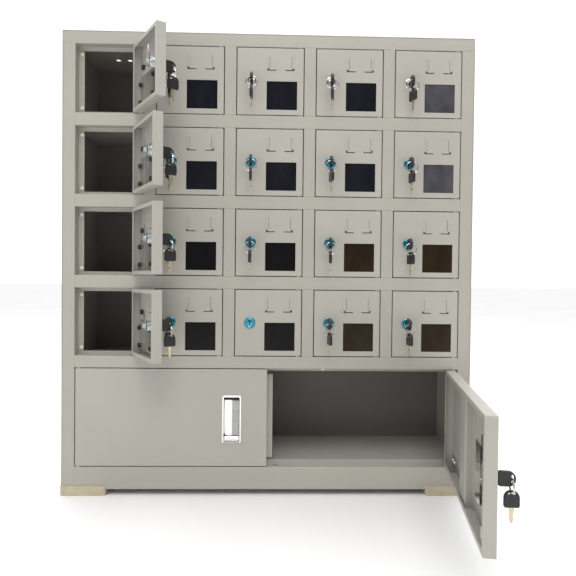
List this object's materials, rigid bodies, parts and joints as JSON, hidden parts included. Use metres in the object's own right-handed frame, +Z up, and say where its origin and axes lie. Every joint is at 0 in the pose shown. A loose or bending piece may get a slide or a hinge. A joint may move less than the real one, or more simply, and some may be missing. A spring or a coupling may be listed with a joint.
{
  "type": "phone charging kiosk",
  "caption": "Sheet-steel charging locker with a grid of small lockable window doors, each with a cam lock, over one wide compartment closed by a pair of doors.",
  "frame": {"origin": "on the floor under the middle of the cabinet's footprint", "axes": "+Z up, the doors face -Y, +X to the right as one faces the doors"},
  "size_m": [0.804, 0.6003, 0.9],
  "materials": {
    "frame_paint": "satin powder coat, warm light grey",
    "door_paint": "satin powder coat, warm light grey",
    "interior_paint": "satin powder coat inside the compartments",
    "foot_plastic": "cream moulded plastic",
    "zinc": "bright zinc plate",
    "lock_chrome": "polished lock plug and plated cam",
    "handle_chrome": "chromed die casting",
    "bumper_rubber": "soft white buffer",
    "outlet_plastic": "black moulded outlet",
    "hub_plastic": "black hub case",
    "inlet_plastic": "black inlet"
  },
  "bodies": {
    "cabinet": {"frame_rails": "frame_paint", "frame_uprights": "frame_paint", "outer_casing": "frame_paint", "decks": "interior_paint", "partitions": "interior_paint", "back_panel": "interior_paint", "usb_outlets": "outlet_plastic", "charger_hubs": "hub_plastic", "rear_cover": "frame_paint", "power_inlet": "inlet_plastic", "corner_feet": "foot_plastic", "hinge_pins": "zinc", "door_bumpers": "bumper_rubber"},
    "left_wing": {"left_door": "door_paint", "left_handle": "handle_chrome"},
    "right_wing": {"right_door": "door_paint", "right_handle": "handle_chrome"},
    "right_lock_plug": {"right_lock": "lock_chrome"},
    "lower_bolt_rod": {"lower_bolt": "zinc"},
    "upper_bolt_rod": {"upper_bolt": "zinc"},
    "leaf_r1c1": {"door_r1c1": "door_paint"},
    "plug_r1c1": {"lock_r1c1": "lock_chrome"},
    "leaf_r1c2": {"door_r1c2": "door_paint"},
    "plug_r1c2": {"lock_r1c2": "lock_chrome"},
    "leaf_r1c3": {"door_r1c3": "door_paint"},
    "plug_r1c3": {"lock_r1c3": "lock_chrome"},
    "leaf_r1c4": {"door_r1c4": "door_paint"},
    "plug_r1c4": {"lock_r1c4": "lock_chrome"},
    "leaf_r1c5": {"door_r1c5": "door_paint"},
    "plug_r1c5": {"lock_r1c5": "lock_chrome"},
    "leaf_r2c1": {"door_r2c1": "door_paint"},
    "plug_r2c1": {"lock_r2c1": "lock_chrome"},
    "leaf_r2c2": {"door_r2c2": "door_paint"},
    "plug_r2c2": {"lock_r2c2": "lock_chrome"},
    "leaf_r2c3": {"door_r2c3": "door_paint"},
    "plug_r2c3": {"lock_r2c3": "lock_chrome"},
    "leaf_r2c4": {"door_r2c4": "door_paint"},
    "plug_r2c4": {"lock_r2c4": "lock_chrome"},
    "leaf_r2c5": {"door_r2c5": "door_paint"},
    "plug_r2c5": {"lock_r2c5": "lock_chrome"},
    "leaf_r3c1": {"door_r3c1": "door_paint"},
    "plug_r3c1": {"lock_r3c1": "lock_chrome"},
    "leaf_r3c2": {"door_r3c2": "door_paint"},
    "plug_r3c2": {"lock_r3c2": "lock_chrome"},
    "leaf_r3c3": {"door_r3c3": "door_paint"},
    "plug_r3c3": {"lock_r3c3": "lock_chrome"},
    "leaf_r3c4": {"door_r3c4": "door_paint"},
    "plug_r3c4": {"lock_r3c4": "lock_chrome"},
    "leaf_r3c5": {"door_r3c5": "door_paint"},
    "plug_r3c5": {"lock_r3c5": "lock_chrome"},
    "leaf_r4c1": {"door_r4c1": "door_paint"},
    "plug_r4c1": {"lock_r4c1": "lock_chrome"},
    "leaf_r4c2": {"door_r4c2": "door_paint"},
    "plug_r4c2": {"lock_r4c2": "lock_chrome"},
    "leaf_r4c3": {"door_r4c3": "door_paint"},
    "plug_r4c3": {"lock_r4c3": "lock_chrome"},
    "leaf_r4c4": {"door_r4c4": "door_paint"},
    "plug_r4c4": {"lock_r4c4": "lock_chrome"},
    "leaf_r4c5": {"door_r4c5": "door_paint"},
    "plug_r4c5": {"lock_r4c5": "lock_chrome"}
  },
  "joints": [
    {"name": "left_door_hinge", "type": "hinge", "parent": "cabinet", "child": "left_wing", "pos_m": [-0.3675, -0.116, 0.153], "axis": [0, 0, -1], "range_deg": [0, 110]},
    {"name": "right_door_hinge", "type": "hinge", "parent": "cabinet", "child": "right_wing", "pos_m": [0.3675, -0.116, 0.153], "axis": [0, 0, 1], "range_deg": [-80.2, 29.8]},
    {"name": "right_lock_turn", "type": "hinge", "parent": "right_wing", "child": "right_lock_plug", "pos_m": [0.30925, -0.45326, 0.158], "axis": [0.9854, -0.1702, 0], "range_deg": [0, 90]},
    {"name": "upper_bolt_slide", "type": "slide", "parent": "right_wing", "child": "upper_bolt_rod", "axis": [0, 0, 1], "range_m": [0, 0.01415]},
    {"name": "lower_bolt_slide", "type": "slide", "parent": "right_wing", "child": "lower_bolt_rod", "axis": [0, 0, -1], "range_m": [0, 0.01415]},
    {"name": "door_r1c1_hinge", "type": "hinge", "parent": "cabinet", "child": "leaf_r1c1", "pos_m": [-0.2505, -0.116, 0.809], "axis": [0, 0, 1], "range_deg": [-122, 0.5]},
    {"name": "door_r1c2_hinge", "type": "hinge", "parent": "cabinet", "child": "leaf_r1c2", "pos_m": [-0.096, -0.116, 0.809], "axis": [0, 0, 1], "range_deg": [0, 122.5]},
    {"name": "door_r1c3_hinge", "type": "hinge", "parent": "cabinet", "child": "leaf_r1c3", "pos_m": [0.0585, -0.116, 0.809], "axis": [0, 0, 1], "range_deg": [0, 122.5]},
    {"name": "door_r1c4_hinge", "type": "hinge", "parent": "cabinet", "child": "leaf_r1c4", "pos_m": [0.213, -0.116, 0.809], "axis": [0, 0, 1], "range_deg": [0, 122.5]},
    {"name": "door_r1c5_hinge", "type": "hinge", "parent": "cabinet", "child": "leaf_r1c5", "pos_m": [0.3675, -0.116, 0.809], "axis": [0, 0, 1], "range_deg": [0, 122.5]},
    {"name": "door_r2c1_hinge", "type": "hinge", "parent": "cabinet", "child": "leaf_r2c1", "pos_m": [-0.2505, -0.116, 0.6525], "axis": [0, 0, 1], "range_deg": [-120, 2.5]},
    {"name": "door_r2c2_hinge", "type": "hinge", "parent": "cabinet", "child": "leaf_r2c2", "pos_m": [-0.096, -0.116, 0.6525], "axis": [0, 0, 1], "range_deg": [0, 122.5]},
    {"name": "door_r2c3_hinge", "type": "hinge", "parent": "cabinet", "child": "leaf_r2c3", "pos_m": [0.0585, -0.116, 0.6525], "axis": [0, 0, 1], "range_deg": [0, 122.5]},
    {"name": "door_r2c4_hinge", "type": "hinge", "parent": "cabinet", "child": "leaf_r2c4", "pos_m": [0.213, -0.116, 0.6525], "axis": [0, 0, 1], "range_deg": [0, 122.5]},
    {"name": "door_r2c5_hinge", "type": "hinge", "parent": "cabinet", "child": "leaf_r2c5", "pos_m": [0.3675, -0.116, 0.6525], "axis": [0, 0, 1], "range_deg": [0, 122.5]},
    {"name": "door_r3c1_hinge", "type": "hinge", "parent": "cabinet", "child": "leaf_r3c1", "pos_m": [-0.2505, -0.116, 0.496], "axis": [0, 0, 1], "range_deg": [-120, 2.5]},
    {"name": "door_r3c2_hinge", "type": "hinge", "parent": "cabinet", "child": "leaf_r3c2", "pos_m": [-0.096, -0.116, 0.496], "axis": [0, 0, 1], "range_deg": [0, 122.5]},
    {"name": "door_r3c3_hinge", "type": "hinge", "parent": "cabinet", "child": "leaf_r3c3", "pos_m": [0.0585, -0.116, 0.496], "axis": [0, 0, 1], "range_deg": [0, 122.5]},
    {"name": "door_r3c4_hinge", "type": "hinge", "parent": "cabinet", "child": "leaf_r3c4", "pos_m": [0.213, -0.116, 0.496], "axis": [0, 0, 1], "range_deg": [0, 122.5]},
    {"name": "door_r3c5_hinge", "type": "hinge", "parent": "cabinet", "child": "leaf_r3c5", "pos_m": [0.3675, -0.116, 0.496], "axis": [0, 0, 1], "range_deg": [0, 122.5]},
    {"name": "door_r4c1_hinge", "type": "hinge", "parent": "cabinet", "child": "leaf_r4c1", "pos_m": [-0.2505, -0.116, 0.3395], "axis": [0, 0, 1], "range_deg": [-120, 2.5]},
    {"name": "door_r4c2_hinge", "type": "hinge", "parent": "cabinet", "child": "leaf_r4c2", "pos_m": [-0.096, -0.116, 0.3395], "axis": [0, 0, 1], "range_deg": [0, 122.5]},
    {"name": "door_r4c3_hinge", "type": "hinge", "parent": "cabinet", "child": "leaf_r4c3", "pos_m": [0.0585, -0.116, 0.3395], "axis": [0, 0, 1], "range_deg": [0, 122.5]},
    {"name": "door_r4c4_hinge", "type": "hinge", "parent": "cabinet", "child": "leaf_r4c4", "pos_m": [0.213, -0.116, 0.3395], "axis": [0, 0, 1], "range_deg": [0, 122.5]},
    {"name": "door_r4c5_hinge", "type": "hinge", "parent": "cabinet", "child": "leaf_r4c5", "pos_m": [0.3675, -0.116, 0.3395], "axis": [0, 0, 1], "range_deg": [0, 122.5]},
    {"name": "lock_r1c1_turn", "type": "hinge", "parent": "leaf_r1c1", "child": "plug_r1c1", "pos_m": [-0.20042, -0.19614, 0.809], "axis": [0.848, 0.5299, 0], "range_deg": [0, 90]},
    {"name": "lock_r1c2_turn", "type": "hinge", "parent": "leaf_r1c2", "child": "plug_r1c2", "pos_m": [-0.1905, -0.116, 0.809], "axis": [0, -1, 0], "range_deg": [0, 90]},
    {"name": "lock_r1c3_turn", "type": "hinge", "parent": "leaf_r1c3", "child": "plug_r1c3", "pos_m": [-0.036, -0.116, 0.809], "axis": [0, -1, 0], "range_deg": [0, 90]},
    {"name": "lock_r1c4_turn", "type": "hinge", "parent": "leaf_r1c4", "child": "plug_r1c4", "pos_m": [0.1185, -0.116, 0.809], "axis": [0, -1, 0], "range_deg": [0, 90]},
    {"name": "lock_r1c5_turn", "type": "hinge", "parent": "leaf_r1c5", "child": "plug_r1c5", "pos_m": [0.273, -0.116, 0.809], "axis": [0, -1, 0], "range_deg": [0, 90]},
    {"name": "lock_r2c1_turn", "type": "hinge", "parent": "leaf_r2c1", "child": "plug_r2c1", "pos_m": [-0.20325, -0.19784, 0.6525], "axis": [0.866, 0.5, 0], "range_deg": [0, 90]},
    {"name": "lock_r2c2_turn", "type": "hinge", "parent": "leaf_r2c2", "child": "plug_r2c2", "pos_m": [-0.1905, -0.116, 0.6525], "axis": [0, -1, 0], "range_deg": [0, 90]},
    {"name": "lock_r2c3_turn", "type": "hinge", "parent": "leaf_r2c3", "child": "plug_r2c3", "pos_m": [-0.036, -0.116, 0.6525], "axis": [0, -1, 0], "range_deg": [0, 90]},
    {"name": "lock_r2c4_turn", "type": "hinge", "parent": "leaf_r2c4", "child": "plug_r2c4", "pos_m": [0.1185, -0.116, 0.6525], "axis": [0, -1, 0], "range_deg": [0, 90]},
    {"name": "lock_r2c5_turn", "type": "hinge", "parent": "leaf_r2c5", "child": "plug_r2c5", "pos_m": [0.273, -0.116, 0.6525], "axis": [0, -1, 0], "range_deg": [0, 90]},
    {"name": "lock_r3c1_turn", "type": "hinge", "parent": "leaf_r3c1", "child": "plug_r3c1", "pos_m": [-0.20325, -0.19784, 0.496], "axis": [0.866, 0.5, 0], "range_deg": [0, 90]},
    {"name": "lock_r3c2_turn", "type": "hinge", "parent": "leaf_r3c2", "child": "plug_r3c2", "pos_m": [-0.1905, -0.116, 0.496], "axis": [0, -1, 0], "range_deg": [0, 90]},
    {"name": "lock_r3c3_turn", "type": "hinge", "parent": "leaf_r3c3", "child": "plug_r3c3", "pos_m": [-0.036, -0.116, 0.496], "axis": [0, -1, 0], "range_deg": [0, 90]},
    {"name": "lock_r3c4_turn", "type": "hinge", "parent": "leaf_r3c4", "child": "plug_r3c4", "pos_m": [0.1185, -0.116, 0.496], "axis": [0, -1, 0], "range_deg": [0, 90]},
    {"name": "lock_r3c5_turn", "type": "hinge", "parent": "leaf_r3c5", "child": "plug_r3c5", "pos_m": [0.273, -0.116, 0.496], "axis": [0, -1, 0], "range_deg": [0, 90]},
    {"name": "lock_r4c1_turn", "type": "hinge", "parent": "leaf_r4c1", "child": "plug_r4c1", "pos_m": [-0.20325, -0.19784, 0.3395], "axis": [0.866, 0.5, 0], "range_deg": [0, 90]},
    {"name": "lock_r4c2_turn", "type": "hinge", "parent": "leaf_r4c2", "child": "plug_r4c2", "pos_m": [-0.1905, -0.116, 0.3395], "axis": [0, -1, 0], "range_deg": [0, 90]},
    {"name": "lock_r4c3_turn", "type": "hinge", "parent": "leaf_r4c3", "child": "plug_r4c3", "pos_m": [-0.036, -0.116, 0.3395], "axis": [0, -1, 0], "range_deg": [0, 90]},
    {"name": "lock_r4c4_turn", "type": "hinge", "parent": "leaf_r4c4", "child": "plug_r4c4", "pos_m": [0.1185, -0.116, 0.3395], "axis": [0, -1, 0], "range_deg": [0, 90]},
    {"name": "lock_r4c5_turn", "type": "hinge", "parent": "leaf_r4c5", "child": "plug_r4c5", "pos_m": [0.273, -0.116, 0.3395], "axis": [0, -1, 0], "range_deg": [0, 90]}
  ],
  "couplings": [
    {"joint": "upper_bolt_slide", "follows": "right_lock_turn", "m_per_rad": 0.009003},
    {"joint": "lower_bolt_slide", "follows": "right_lock_turn", "m_per_rad": 0.009003}
  ]
}
